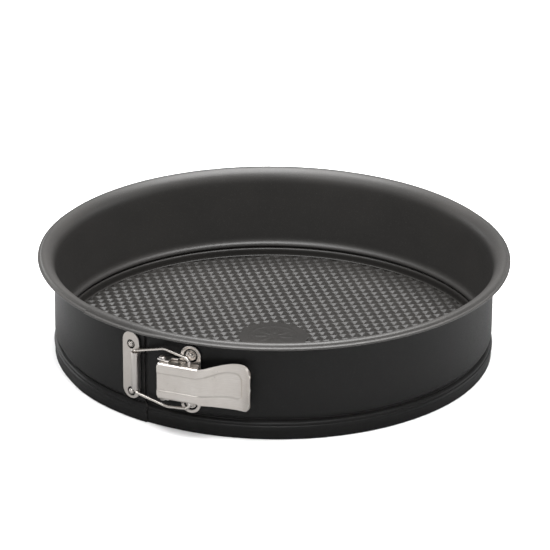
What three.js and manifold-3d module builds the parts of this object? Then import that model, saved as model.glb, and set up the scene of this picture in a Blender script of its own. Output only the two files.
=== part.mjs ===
import * as THREE from 'three';
import Module from 'manifold-3d';

// Springform pan: a removable pressed base inside a split sheet-steel band that an over-centre
// toggle latch pulls shut. Lengths in mm, +Z up, the pan stands on z = 0, latch towards -Y.
// Angles "phi" run round the pan from -Y towards +X.

const wasm = await Module();
wasm.setup();

// Band
const SHEET = 0.6;            // band sheet thickness
const NEST = 0.9;             // offset between the two sheets where they overlap
const WALL_R = 130.2;         // middle of the band's sheet
const STEP = 4.5;             // degrees between stations round the band
const HINGE_PHI = 120;        // where the flexing front halves leave the rear of the band
const HINGE_GAP = 0.13;       // degrees of air at each of those splits
const SEAM_PHI = -4.2;        // end of the outer sheet
const BEAD_CUT_PHI = 1.0;     // where the inner sheet starts to step behind the outer one
const TAB_END_PHI = -24.5;    // end of the inner sheet's tab, wall and skirt
const TAB_RIM_END_PHI = -20.5; // end of the tab along the rim
const LIP_FROM_PHI = -23.4;   // outer sheet's roll starts to give way to its lip
const LIP_PHI = -21.0;        // outer sheet's roll is gone
// Base plate
const BASE_SHEET = 0.7;
const BASE_R = 128.9;
const FLOOR_Z = 4.2;          // top of the pan floor
// Latch
const LATCH_Z = 32.8;         // mid height of every latch piece
const PLATE = 1.0;            // latch sheet thickness
const GAP = 0.3;              // air between touching pieces
const STRIP_N = 130.8;        // inner face of the latch's base plates, from the pan's axis
const STRIP_W = 12;
const STRIP_H = 41;
const ANCHOR_PHI = -8.6;
const LEVER_PHI = 7.5;
const STRIP_T = 2.1;          // bracket strip's centre, sideways from the lever frame
const PIVOT = [-13.0, 135.3]; // lever pivot: sideways, outwards
const PULL = [3.9, 137.9];    // where the bail's ends sit in the lever
const KNUCKLE = [4.1, 132.9]; // bail's hinge bar, in the anchor's frame
const WIRE_R = 0.9;
const PIN_R = 1.3;
const ANCHOR_Z = 31.1;        // mid height of the anchor's rivets and of the bail's hinge bar
const RIVET_Z = 14.6;         // rivets above and below mid height
const LEVER_FACE = 140.5;     // lever's outer face
const LEVER_HALF = 10.9;      // half height of the lever's channel

const rad = (deg) => deg * Math.PI / 180;

// Middle line of the band's sheet from the foot to the rolled rim: radius, height, and which
// sheet gives way where the ends overlap (1 = outer sheet moves out, 0 = inner sheet moves in).
const BAND = [
  [130.15, 0.0, 1], [130.6, 1.3, 1], [130.75, 3.6, 1], [130.5, 5.2, 1], [129.95, 6.3, 1],
  [129.75, 7.3, 1], [130.1, 8.6, 1], [129.5, 9.7, 1], [128.6, 10.9, 1], [128.95, 12.3, 1],
  [129.9, 13.8, 0.6], [WALL_R, 15.6, 0], [WALL_R, 53, 0], [130.8, 56, 0.2],
  [132.2, 58.3, 0.4], [134.3, 59.7, 0.5], [136.5, 59.85, 0.5], [138.0, 60.2, 0.5],
  [139.0, 59.6, 0.5], [139.05, 58.7, 0.5], [138.2, 58.3, 0.5],
];
const RIM_FROM = 16;          // first point of BAND on the rolled edge, which the outer sheet's lip lacks
const LIP_STEP = 0.35;        // spacing of the lip's last points past the flare
const ROLL_SHIFT = [0.35, -0.45]; // the tab's roll where it closes round the outer sheet's lip

const polar = (r, phi, z) => [r * Math.sin(rad(phi)), -r * Math.cos(rad(phi)), z];

const ramp = (x, from, to) => Math.min(1, Math.max(0, (x - from) / (to - from)));

// Unit normals of an open (r, z) line, on its right-hand side: out of the pan on the way up.
function normals(line) {
  return line.map((p, i) => {
    const a = line[Math.max(0, i - 1)], b = line[Math.min(line.length - 1, i + 1)];
    const d = [b[0] - a[0], b[1] - a[1]];
    const l = Math.hypot(d[0], d[1]);
    return [d[1] / l, -d[0] / l];
  });
}
const BAND_N = normals(BAND);

function nominalLine() {
  return BAND.map(([r, z]) => [r, z]);
}

// Outer sheet: foot, bead and flare step outwards over the tab, and the flare ends in a short
// lip inside the tab's roll.
function outerSheetLine(phi) {
  const foot = ramp(phi, -27, -25), rim = ramp(phi, LIP_FROM_PHI, LIP_PHI);
  const edge = BAND[RIM_FROM - 1], n = BAND_N[RIM_FROM - 1], half = NEST / 2;
  return BAND.map(([r, z, a], i) => {
    if (i >= RIM_FROM) {
      const out = (i - RIM_FROM + 1) * LIP_STEP;
      const lip = [edge[0] + out + n[0] * half, edge[1] + 0.1 * out * (1 - 0.6 * out) + n[1] * half];
      return [r + (lip[0] - r) * rim, z + (lip[1] - z) * rim];
    }
    const k = NEST * a * (z > LATCH_Z ? rim : foot);
    return [r + BAND_N[i][0] * k, z + BAND_N[i][1] * k];
  });
}

// Inner sheet: its tab steps inwards at wall and flare, and its roll drops round the lip.
function innerSheetLine(phi) {
  const w = ramp(-phi, -BEAD_CUT_PHI, -BEAD_CUT_PHI + 2.6);
  return BAND.map(([r, z, a], i) => {
    if (i > RIM_FROM) return [r + ROLL_SHIFT[0] * w, z + ROLL_SHIFT[1] * w * (i > RIM_FROM + 2 ? 1 : -0.6)];
    const k = NEST * (1 - a) * w;
    return [r - BAND_N[i][0] * k, z - BAND_N[i][1] * k];
  });
}

// Closed (r, z) loop round a sheet's middle line, cut square at its foot.
function thicken(line, thickness) {
  const n = normals(line), h = thickness / 2;
  n[0] = [1, 0];
  const out = line.map((p, i) => [p[0] + n[i][0] * h, p[1] + n[i][1] * h]);
  const inn = line.map((p, i) => [p[0] - n[i][0] * h, p[1] - n[i][1] * h]);
  return [...out, ...inn.reverse()];
}

// Closed body through equal loops of points; the first and last loops are capped by their
// own outline, given in two dimensions.
function loft(loops, capOutline) {
  const n = loops[0].length, pos = loops.flat(2), index = [];
  for (let s = 0; s + 1 < loops.length; s++) {
    for (let i = 0; i < n; i++) {
      const j = (i + 1) % n;
      const a = s * n + i, b = s * n + j, c = a + n, d = b + n;
      index.push(a, c, b, b, c, d);
    }
  }
  const last = (loops.length - 1) * n;
  for (const [outline, base, sense] of [[capOutline(0), 0, 1], [capOutline(1), last, -1]]) {
    const pts = outline.map(([x, y]) => new THREE.Vector2(x, y));
    const around = Math.sign(THREE.ShapeUtils.area(pts)) * sense;
    for (const [a, b, c] of THREE.ShapeUtils.triangulateShape(pts, [])) {
      const turn = Math.sign(THREE.ShapeUtils.area([pts[a], pts[b], pts[c]]));
      if (turn === around) index.push(base + a, base + b, base + c);
      else index.push(base + a, base + c, base + b);
    }
  }
  const g = new THREE.BufferGeometry();
  g.setAttribute('position', new THREE.Float32BufferAttribute(pos, 3));
  g.setIndex(index);
  return g;
}

function toManifold(g) {
  const q = g.index ? g : indexed(g);
  return new wasm.Manifold(new wasm.Mesh({
    numProp: 3,
    vertProperties: new Float32Array(q.attributes.position.array),
    triVerts: new Uint32Array(q.index.array),
  }));
}

// Welded, indexed copy of a triangle soup.
function indexed(g) {
  const src = g.attributes.position, seen = new Map(), pos = [], index = [];
  for (let i = 0; i < src.count; i++) {
    const p = [src.getX(i), src.getY(i), src.getZ(i)];
    const key = p.map((v) => Math.round(v * 1e4)).join(',');
    if (!seen.has(key)) {
      seen.set(key, pos.length / 3);
      pos.push(...p);
    }
    index.push(seen.get(key));
  }
  const tri = [];
  for (let i = 0; i < index.length; i += 3) {
    const [a, b, c] = index.slice(i, i + 3);
    if (a !== b && b !== c && c !== a) tri.push(a, b, c);
  }
  const out = new THREE.BufferGeometry();
  out.setAttribute('position', new THREE.Float32BufferAttribute(pos, 3));
  out.setIndex(tri);
  return out;
}

function fromManifold(m) {
  const mesh = m.getMesh();
  const g = new THREE.BufferGeometry();
  g.setAttribute('position', new THREE.Float32BufferAttribute(mesh.vertProperties, 3));
  g.setIndex(Array.from(mesh.triVerts));
  return g;
}

// Prism along Z from an (x, y) outline.
function prismZ(outline, z0, z1) {
  const shape = new THREE.Shape(outline.map(([x, y]) => new THREE.Vector2(x, y)));
  const g = new THREE.ExtrudeGeometry(shape, { depth: z1 - z0, bevelEnabled: false });
  return indexed(g.translate(0, 0, z0));
}

// Prism along the outward direction, from an outline seen from the front: (sideways, height).
// In a latch frame, outward is -Y.
function prismOut(outline, n0, n1) {
  const shape = new THREE.Shape(outline.map(([x, z]) => new THREE.Vector2(x, z)));
  const g = new THREE.ExtrudeGeometry(shape, { depth: n1 - n0, bevelEnabled: false });
  return indexed(g.rotateX(Math.PI / 2).translate(0, -n0, 0));
}

// Prism in height from a plan outline given as (sideways, outwards).
function prismUp(plan, z0, z1) {
  return prismZ(plan.map(([t, n]) => [t, -n]), z0, z1);
}

function circle(cx, cy, r, sides = 16) {
  return Array.from({ length: sides }, (_, i) => {
    const a = 2 * Math.PI * i / sides;
    return [cx + r * Math.cos(a), cy + r * Math.sin(a)];
  });
}

// Outline with round ends, centred at (cx, 0).
function stadium(cx, width, height, steps = 10) {
  const r = width / 2, c = height / 2 - r, pts = [];
  for (let i = 0; i <= steps; i++) {
    const a = Math.PI * i / steps;
    pts.push([cx + r * Math.cos(a), c + r * Math.sin(a)]);
  }
  for (let i = 0; i <= steps; i++) {
    const a = Math.PI + Math.PI * i / steps;
    pts.push([cx + r * Math.cos(a), -c + r * Math.sin(a)]);
  }
  return pts;
}

// Round wire along a path of [x, y, z] points.
function wire(path, r, sides = 8) {
  const p = path.map((v) => new THREE.Vector3(...v));
  const dir = (i) => p[Math.min(i + 1, p.length - 1)].clone().sub(p[Math.max(i, 1) - 1]);
  const seg = (i) => p[i + 1].clone().sub(p[i]).normalize();
  const side = new THREE.Vector3();
  for (let i = 0; i + 2 < p.length && side.length() < 0.1; i++) side.crossVectors(seg(i), seg(i + 1));
  side.normalize();
  const loops = p.map((c, i) => {
    const along = i === 0 ? seg(0) : i === p.length - 1 ? seg(i - 1)
      : seg(i - 1).add(seg(i)).normalize();
    const turn = i === 0 || i === p.length - 1 ? 1 : 1 / along.dot(seg(i));
    const across = new THREE.Vector3().crossVectors(along, side).normalize();
    return Array.from({ length: sides }, (_, k) => {
      const a = 2 * Math.PI * k / sides;
      return c.clone().addScaledVector(side, r * Math.cos(a))
        .addScaledVector(across, r * turn * Math.sin(a)).toArray();
    });
  });
  const outline = circle(0, 0, r, sides);
  return outwards(loft(loops, () => outline));
}

// Turns a closed body's triangles to face out when its signed volume is negative.
function outwards(g) {
  const p = g.attributes.position, t = g.index.array;
  let v = 0;
  const q = [0, 1, 2].map(() => new THREE.Vector3());
  for (let i = 0; i < t.length; i += 3) {
    q.forEach((w, k) => w.fromBufferAttribute(p, t[i + k]));
    v += q[0].dot(new THREE.Vector3().crossVectors(q[1], q[2]));
  }
  if (v > 0) return g;
  const flipped = Array.from(t);
  for (let i = 0; i < flipped.length; i += 3) {
    [flipped[i + 1], flipped[i + 2]] = [flipped[i + 2], flipped[i + 1]];
  }
  g.setIndex(flipped);
  return g;
}

function mesh(name, geometry, color, roughness, metalness) {
  const m = new THREE.Mesh(geometry, new THREE.MeshStandardMaterial({ color, roughness, metalness }));
  m.name = name;
  return m;
}
const coated = (name, g) => mesh(name, g, 0x2b2b2c, 0.5, 0.3);
const steel = (name, g) => mesh(name, g, 0xbdb8b2, 0.32, 1.0);

// Sheet band between two angles; the tab's corner is trimmed by ending higher points early.
function bandSheet(from, to, lineAt, extra = [], trim = null) {
  const count = Math.max(2, Math.round((to - from) / STEP));
  const stations = Array.from({ length: count + 1 }, (_, i) => from + (to - from) * i / count)
    .filter((s, i, all) => i === 0 || i === all.length - 1
      || extra.every((e) => Math.abs(e - s) > 0.6 * STEP / 2))
    .concat(extra).sort((a, b) => a - b);
  const loops = stations.map((s) => {
    const ring = thicken(lineAt(s), SHEET);
    return ring.map(([r, z]) => polar(r, trim ? trim(s, z) : s, z));
  });
  const cap = (end) => thicken(lineAt(stations[end ? stations.length - 1 : 0]), SHEET);
  return outwards(loft(loops, cap));
}

// Rivet holes through a sheet, in a latch frame turned by phi.
function drill(g, phi, t, z, r) {
  let m = toManifold(g);
  for (const s of [-1, 1]) {
    const tool = prismOut(circle(t, z + s * RIVET_Z, r, 12), WALL_R - 4, WALL_R + 4);
    m = m.subtract(toManifold(outwards(tool.rotateZ(rad(phi)))));
  }
  return fromManifold(m);
}
const SHANK_R = 1.1;
const RIVET_HOLE_R = SHANK_R + GAP;
const TUNNEL_HALF = 11.4;     // half length of the anchor's tunnel round the bail's bar

function ringRear() {
  return coated('ring_rear', bandSheet(HINGE_PHI + HINGE_GAP, 360 - HINGE_PHI - HINGE_GAP, nominalLine));
}

function ringLeft() {
  const g = bandSheet(-HINGE_PHI, SEAM_PHI, outerSheetLine, [-27, -25, LIP_FROM_PHI, LIP_PHI]);
  return coated('ring_left', drill(g, ANCHOR_PHI, 0, ANCHOR_Z, RIVET_HOLE_R));
}

function ringRight() {
  // Above the flare the tab stops short, so its corner runs back at a slant.
  const trim = (s, z) => {
    const high = ramp(z, 50, 57);
    const end = TAB_END_PHI + (TAB_RIM_END_PHI - TAB_END_PHI) * high;
    return s < -2 ? -2 + (s + 2) * (end + 2) / (TAB_END_PHI + 2) : s;
  };
  const extra = [BEAD_CUT_PHI - 2.6, BEAD_CUT_PHI];
  const g = bandSheet(TAB_END_PHI, HINGE_PHI, innerSheetLine, extra, trim);
  return coated('ring_right', drill(g, LEVER_PHI, STRIP_T, LATCH_Z, RIVET_HOLE_R));
}

function basePlate() {
  const t = BASE_SHEET, f = FLOOR_Z;
  const rimTop = f + 4.4;
  const profile = [
    [0, f - t], [125.6, f - t], [126.9, f - t + 0.4], [127.55, f + 0.6], [127.75, rimTop - 1.1],
    [128.2, rimTop - 0.75], [128.75, rimTop - 0.7], [BASE_R, rimTop - 0.4], [BASE_R - 0.1, rimTop],
    [BASE_R - 0.7, rimTop + 0.15], [127.5, rimTop - 0.05], [127.05, rimTop - 0.7],
    [126.85, f + 0.9], [126.3, f + 0.2], [125.4, f], [0, f],
  ].map(([r, z]) => new THREE.Vector2(r, z));
  const g = new THREE.LatheGeometry(profile, 80);
  return coated('base_plate', outwards(indexed(g.toNonIndexed().rotateX(Math.PI / 2))));
}

// Strip riveted to the outer sheet, with a raised tunnel that the bail's bar turns in.
function anchorPlate() {
  const [k, n] = KNUCKLE;
  const inner = WIRE_R + 0.45, outer = inner + PLATE - 0.05;
  const windowHalf = TUNNEL_HALF + 0.4;
  const lift = (pts) => pts.map(([x, z]) => [x, z + LATCH_Z]);
  const arc = (r, from, to) => Array.from({ length: 9 }, (_, i) => {
    const a = rad(from + (to - from) * i / 8);
    return [k + r * Math.cos(a), n + r * Math.sin(a)];
  });
  const section = [
    [k - outer - 0.7, STRIP_N + PLATE], ...arc(outer, 180, 0), [k + outer, STRIP_N],
    [k + inner, STRIP_N], ...arc(inner, 0, 180), [k - inner, STRIP_N + 0.5],
    [k - inner - 0.3, STRIP_N], [k - outer - 0.7, STRIP_N],
  ];
  const window = [[k - inner - 0.5, ANCHOR_Z - windowHalf], [STRIP_W, ANCHOR_Z - windowHalf],
    [STRIP_W, ANCHOR_Z + windowHalf], [k - inner - 0.5, ANCHOR_Z + windowHalf]];
  let m = toManifold(outwards(prismOut(lift(stadium(0, STRIP_W, STRIP_H)), STRIP_N, STRIP_N + PLATE)));
  m = m.subtract(toManifold(outwards(prismOut(window, STRIP_N - 1, STRIP_N + PLATE + 1))));
  m = m.add(toManifold(outwards(prismUp(section, ANCHOR_Z - TUNNEL_HALF, ANCHOR_Z + TUNNEL_HALF))));
  for (const s of [-1, 1]) {
    const hole = prismOut(circle(0, ANCHOR_Z + s * RIVET_Z, RIVET_HOLE_R, 12), STRIP_N - 1, STRIP_N + 3);
    m = m.subtract(toManifold(outwards(hole)));
  }
  return steel('anchor_plate', fromManifold(m));
}

// Domed rivet on the outward axis; tail is how far its inner head reaches, or 0 for a flush end.
function rivet(name, t, z, tail) {
  const top = STRIP_N + PLATE + GAP, wallIn = WALL_R - SHEET / 2;
  const foot = tail
    ? [[0, wallIn - GAP - tail], [1.7, wallIn - GAP - tail * 0.8], [2.0, wallIn - GAP], [SHANK_R, wallIn - GAP]]
    : [[0, wallIn + 0.1], [SHANK_R, wallIn + 0.1]];
  const profile = [...foot, [SHANK_R, top], [1.95, top], [1.85, top + 0.4], [1.3, top + 0.85],
    [0.6, top + 1.05], [0, top + 1.1]].map(([r, y]) => new THREE.Vector2(r, y));
  const g = new THREE.LatheGeometry(profile, 14).toNonIndexed().rotateX(Math.PI);
  return steel(name, outwards(indexed(g.translate(t, 0, z))));
}

// Plate riveted behind the lever, with two ears that carry the pivot pin.
function bracket() {
  const earIn = LEVER_HALF + GAP, earOut = earIn + PLATE;
  const lift = (pts) => pts.map(([x, z]) => [x, z + LATCH_Z]);
  const webLeft = -9.0;
  let m = toManifold(outwards(prismOut(lift(stadium(STRIP_T, STRIP_W, STRIP_H)), STRIP_N, STRIP_N + PLATE)));
  const web = [[webLeft, -earOut], [STRIP_T, -earOut], [STRIP_T, earOut], [webLeft, earOut]];
  m = m.add(toManifold(outwards(prismOut(lift(web), STRIP_N, STRIP_N + PLATE))));
  const [pt, pn] = PIVOT;
  const ear = [[-4.6, STRIP_N], [-4.6, STRIP_N + 2.2], [-8.2, STRIP_N + 2.6], [-8.6, STRIP_N + 3.0],
    [-8.6, pn + 2.0], [-9.1, pn + 2.6], [pt - 2.6, pn + 1.6], [pt - 3.1, pn + 1.1],
    [pt - 3.1, pn - 1.2], [pt - 1.2, pn - 3.0], [webLeft, STRIP_N]];
  for (const s of [-1, 1]) {
    const z = [LATCH_Z + s * earIn, LATCH_Z + s * earOut].sort((a, b) => a - b);
    m = m.add(toManifold(outwards(prismUp(ear, ...z))));
    m = m.subtract(toManifold(outwards(prismUp(circle(pt, pn, PIN_R + GAP), z[0] - 1, z[1] + 1))));
    const hole = prismOut(circle(STRIP_T, LATCH_Z + s * RIVET_Z, RIVET_HOLE_R, 12), STRIP_N - 1, STRIP_N + 3);
    m = m.subtract(toManifold(outwards(hole)));
  }
  return steel('bracket', fromManifold(m));
}

function pivotPin() {
  const half = LEVER_HALF + GAP + PLATE + GAP;
  const side = [[PIN_R, half], [2.15, half], [2.05, half + 0.5], [1.3, half + 0.9], [0, half + 1.05]];
  const profile = [...side.map(([r, z]) => [r, -z]).reverse(), ...side]
    .map(([r, z]) => new THREE.Vector2(r, z));
  const g = new THREE.LatheGeometry(profile, 16).toNonIndexed().rotateX(Math.PI / 2);
  return steel('pivot_pin', outwards(indexed(g.translate(PIVOT[0], -PIVOT[1], LATCH_Z))));
}

// Stamped lever: a channel over the bracket that runs out into a curved, widening finger tab.
function lever() {
  const face = [
    [-15.0, LEVER_FACE], [8.0, LEVER_FACE], [10.2, 140.1], [12.4, 139.0], [16.0, 136.7],
    [19.8, 134.5], [23.8, 132.5], [27.6, 131.2], [30.6, 130.8], [33.2, 131.3], [35.8, 132.4],
    [38.2, 133.7],
  ];
  const n = normals(face.map(([t, o]) => [t, -o])).map(([a, b]) => [a, -b]);
  const plan = [...face, ...face.map(([t, o], i) => [t - n[i][0] * PLATE, o - n[i][1] * PLATE]).reverse()];
  const half = [[-15.0, 9.8], [-14.0, 10.9], [9.5, 10.9], [13.0, 11.2], [17.7, 12.2], [22.0, 13.2],
    [26.5, 13.9], [31.0, 14.2], [33.6, 14.2], [35.6, 13.4], [37.0, 12.0], [37.8, 10.6], [38.3, 8.8]];
  const outline = [...half.map(([t, h]) => [t, LATCH_Z - h]), ...half.slice().reverse()
    .map(([t, h]) => [t, LATCH_Z + h])];
  const sheet = toManifold(outwards(prismUp(plan, LATCH_Z - 16, LATCH_Z + 16)));
  let m = sheet.intersect(toManifold(outwards(prismOut(outline, STRIP_N - 4, LEVER_FACE + 2))));
  const flange = [[-14.6, LEVER_FACE - 0.4], [-15.2, 138.6], [-15.4, 136.0], [-14.8, 133.8],
    [-13.2, 132.9], [-9.0, 132.9], [6.5, 133.6], [8.6, 135.2], [9.3, LEVER_FACE - 0.4]];
  for (const s of [-1, 1]) {
    const z = [s * (LEVER_HALF - PLATE), s * LEVER_HALF].sort((a, b) => a - b);
    m = m.add(toManifold(outwards(prismUp(flange, LATCH_Z + z[0], LATCH_Z + z[1]))));
    for (const [[t, o], r] of [[PIVOT, PIN_R + GAP], [PULL, WIRE_R + GAP]]) {
      const hole = prismUp(circle(t, o, r), LATCH_Z + z[0] - 0.5, LATCH_Z + z[1] + 0.5);
      m = m.subtract(toManifold(outwards(hole)));
    }
  }
  return steel('lever', fromManifold(m));
}

// Bail: one bent wire, its bar in the anchor's tunnel and its two ends at the lever's flanges.
function bail() {
  const turn = (p, phi) => {
    const [t, n] = p;
    return [t * Math.cos(rad(phi)) + n * Math.sin(rad(phi)), t * Math.sin(rad(phi)) - n * Math.cos(rad(phi))];
  };
  const c = turn(KNUCKLE, ANCHOR_PHI), b = turn(PULL, LEVER_PHI);
  const at = (f, z) => [c[0] + (b[0] - c[0]) * f, c[1] + (b[1] - c[1]) * f, z];
  const reach = LEVER_HALF + GAP;
  const upper = [[0, 43.1], [0.04, 43.8], [0.53, 49.8], [0.6, 49.8], [0.93, 47.4], [0.98, 46.8],
    [1, 45.8], [1, LATCH_Z + reach]];
  const lower = [[0, 19.0], [0.04, 18.2], [0.53, 14.4], [0.6, 14.4], [0.93, 17.9], [0.98, 18.6],
    [1, 19.6], [1, LATCH_Z - reach]];
  const path = [...upper.slice().reverse(), ...lower].map(([f, z]) => at(f, z));
  return steel('bail', wire(path, WIRE_R));
}

const anchorFrame = new THREE.Group();
anchorFrame.rotation.z = rad(ANCHOR_PHI);
anchorFrame.add(anchorPlate(), rivet('anchor_rivet_top', 0, ANCHOR_Z + RIVET_Z, 0),
  rivet('anchor_rivet_bottom', 0, ANCHOR_Z - RIVET_Z, 0));

const leverFrame = new THREE.Group();
leverFrame.rotation.z = rad(LEVER_PHI);
leverFrame.add(bracket(), rivet('bracket_rivet_top', STRIP_T, LATCH_Z + RIVET_Z, 0.8),
  rivet('bracket_rivet_bottom', STRIP_T, LATCH_Z - RIVET_Z, 0.8), pivotPin(), lever());

const group = new THREE.Group();
group.name = 'springform_pan';
group.add(basePlate(), ringRear(), ringLeft(), ringRight(), bail(), anchorFrame, leverFrame);
export default group;
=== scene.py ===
"""Springform pan: a coated steel band with an over-centre latch, on a loose base plate."""
import math

import bmesh
import bpy
import numpy as np
from mathutils import Matrix, Vector
from mathutils.geometry import tessellate_polygon


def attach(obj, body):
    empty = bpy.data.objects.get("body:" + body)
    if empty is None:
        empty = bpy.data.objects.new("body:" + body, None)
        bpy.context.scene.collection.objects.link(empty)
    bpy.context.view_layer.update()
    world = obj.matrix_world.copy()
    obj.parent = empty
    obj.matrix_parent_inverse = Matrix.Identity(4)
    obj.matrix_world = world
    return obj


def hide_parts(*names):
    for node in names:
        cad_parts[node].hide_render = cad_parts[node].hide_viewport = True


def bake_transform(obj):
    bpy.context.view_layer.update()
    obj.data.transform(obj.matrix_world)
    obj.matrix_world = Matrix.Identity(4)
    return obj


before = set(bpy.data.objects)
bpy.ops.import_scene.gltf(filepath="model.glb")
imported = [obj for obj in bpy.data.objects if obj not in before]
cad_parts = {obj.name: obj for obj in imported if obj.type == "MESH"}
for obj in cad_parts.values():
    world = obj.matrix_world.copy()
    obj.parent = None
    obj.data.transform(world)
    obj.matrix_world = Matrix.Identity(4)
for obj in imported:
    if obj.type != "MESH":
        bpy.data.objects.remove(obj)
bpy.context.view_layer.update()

# Lengths in this script are millimetres in the CAD's frame; MM turns them into metres.
MM = 0.001
scene = bpy.context.scene


# ---------------------------------------------------------------- mesh helpers

def merge(*shells):
    """Several (points, faces) shells as one."""
    points, faces = [], []
    for p, f in shells:
        base = len(points)
        points += [tuple(q) for q in p]
        faces += [[base + i for i in face] for face in f]
    return points, faces


def make(name, shell, material, sharp=40, closed=True, weld=0.0):
    """Mesh object from a shell in mm, shaded smooth but for edges over `sharp` degrees."""
    points, faces = shell
    mesh = bpy.data.meshes.new(name)
    mesh.from_pydata([(x * MM, y * MM, z * MM) for x, y, z in points], [], faces)
    bm = bmesh.new()
    bm.from_mesh(mesh)
    if weld:
        bmesh.ops.remove_doubles(bm, verts=bm.verts, dist=weld * MM)
    if closed:
        bmesh.ops.recalc_face_normals(bm, faces=bm.faces)
    bm.to_mesh(mesh)
    bm.free()
    mesh.shade_smooth()
    mesh.set_sharp_from_angle(angle=math.radians(sharp))
    mesh.materials.append(material)
    ob = bpy.data.objects.new(name, mesh)
    scene.collection.objects.link(ob)
    return ob


def polar(r, phi, z):
    """A point at radius r and height z, phi degrees round from the front towards the right."""
    a = math.radians(phi)
    return (r * math.sin(a), -r * math.cos(a), z)


def place(shell, phi):
    """A shell given as (sideways, outwards, height) at an angle round the pan."""
    a = math.radians(phi)
    ca, sa = math.cos(a), math.sin(a)
    points, faces = shell
    return [(t * ca + n * sa, t * sa - n * ca, z) for t, n, z in points], faces


def out_prism(shell):
    """Turns a prism made in (x, y) with depth z so that its depth points outwards."""
    points, faces = shell
    return [(x, z, y) for x, y, z in points], faces


def smooth_line(points, sub):
    """Centripetal Catmull-Rom line through points of any dimension."""
    p = [np.array(q, float) for q in points]
    p = [2 * p[0] - p[1]] + p + [2 * p[-1] - p[-2]]
    out = []
    for i in range(1, len(p) - 2):
        a, b, c, d = p[i - 1:i + 3]
        t0 = 0.0
        t1 = t0 + max(np.linalg.norm(b - a), 1e-6) ** 0.5
        t2 = t1 + max(np.linalg.norm(c - b), 1e-6) ** 0.5
        t3 = t2 + max(np.linalg.norm(d - c), 1e-6) ** 0.5
        for k in range(sub):
            t = t1 + (t2 - t1) * k / sub
            a1 = (t1 - t) / (t1 - t0) * a + (t - t0) / (t1 - t0) * b
            a2 = (t2 - t) / (t2 - t1) * b + (t - t1) / (t2 - t1) * c
            a3 = (t3 - t) / (t3 - t2) * c + (t - t2) / (t3 - t2) * d
            b1 = (t2 - t) / (t2 - t0) * a1 + (t - t0) / (t2 - t0) * a2
            b2 = (t3 - t) / (t3 - t1) * a2 + (t - t1) / (t3 - t1) * a3
            out.append((t2 - t) / (t2 - t1) * b1 + (t - t1) / (t2 - t1) * b2)
    out.append(p[-2])
    return [tuple(q) for q in out]


def inset(outline, d):
    """Moves a closed outline's points to its left by d: inwards if it runs anticlockwise."""
    n = len(outline)
    out = []
    for i in range(n):
        a, b, c = (np.array(outline[j % n], float) for j in (i - 1, i, i + 1))
        u, v = b - a, c - b
        u, v = u / np.linalg.norm(u), v / np.linalg.norm(v)
        nu, nv = np.array([-u[1], u[0]]), np.array([-v[1], v[0]])
        m = nu + nv
        k = max(float(m @ m) / 2, 0.35)
        out.append(tuple(b + m * d / k))
    return out


def anticlockwise(outline):
    area = sum(a[0] * b[1] - b[0] * a[1] for a, b in zip(outline, outline[1:] + outline[:1]))
    return list(outline) if area > 0 else list(outline)[::-1]


def prism(outline, lo, hi, bevel=0.2, holes=()):
    """Sheet piece with rounded edges: an (x, y) outline with holes, from z = lo to z = hi."""
    loops = [anticlockwise(outline)] + [anticlockwise(h)[::-1] for h in holes]
    b = bevel
    steps = [(b + 0.12, lo), (b, lo), (0.3 * b, lo + 0.3 * b), (0, lo + b), (0, hi - b),
             (0.3 * b, hi - 0.3 * b), (b, hi), (b + 0.12, hi)]
    points, faces, firsts, lasts = [], [], [], []
    for loop in loops:
        n, base = len(loop), len(points)
        for d, z in steps:
            points += [(x, y, z) for x, y in inset(loop, d)]
        for s in range(len(steps) - 1):
            for i in range(n):
                j = (i + 1) % n
                a = base + s * n
                faces.append([a + i, a + j, a + n + j, a + n + i])
        firsts.append([base + i for i in range(n)])
        lasts.append([base + (len(steps) - 1) * n + i for i in range(n)])
    for rings in (firsts, lasts):
        index = [i for ring in rings for i in ring]
        flat = [[Vector((points[i][0], points[i][1], 0)) for i in ring] for ring in rings]
        faces += [[index[k] for k in tri] for tri in tessellate_polygon(flat)]
    return points, faces


def lathe(profile, segments=32):
    """Solid of revolution about z from (radius, height) points; radius 0 closes it."""
    points, faces, rings = [], [], []
    for r, h in profile:
        if r < 1e-6:
            rings.append([len(points)])
            points.append((0.0, 0.0, h))
        else:
            rings.append(list(range(len(points), len(points) + segments)))
            for i in range(segments):
                a = 2 * math.pi * i / segments
                points.append((r * math.cos(a), r * math.sin(a), h))
    for a, b in zip(rings, rings[1:]):
        for i in range(segments):
            j = (i + 1) % segments
            quad = [a[i % len(a)], a[j % len(a)], b[j % len(b)], b[i % len(b)]]
            face = []
            for q in quad:
                if q not in face:
                    face.append(q)
            if len(face) > 2:
                faces.append(face)
    return points, faces


def turned_out(shell):
    """A closed shell with its faces wound so that their normals point outwards."""
    points, faces = shell
    volume = 0.0
    for face in faces:
        a = np.array(points[face[0]])
        for k in range(1, len(face) - 1):
            volume += float(a @ np.cross(points[face[k]], points[face[k + 1]]))
    return points, faces if volume > 0 else [face[::-1] for face in faces]


def circle(cx, cy, r, sides=28):
    return [(cx + r * math.cos(2 * math.pi * i / sides), cy + r * math.sin(2 * math.pi * i / sides))
            for i in range(sides)]


def stadium(cx, cy, width, height, steps=16):
    r, c = width / 2, height / 2 - width / 2
    up = [(cx + r * math.cos(math.pi * i / steps), cy + c + r * math.sin(math.pi * i / steps))
          for i in range(steps + 1)]
    return up + [(2 * cx - x, 2 * cy - y) for x, y in up]


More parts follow.
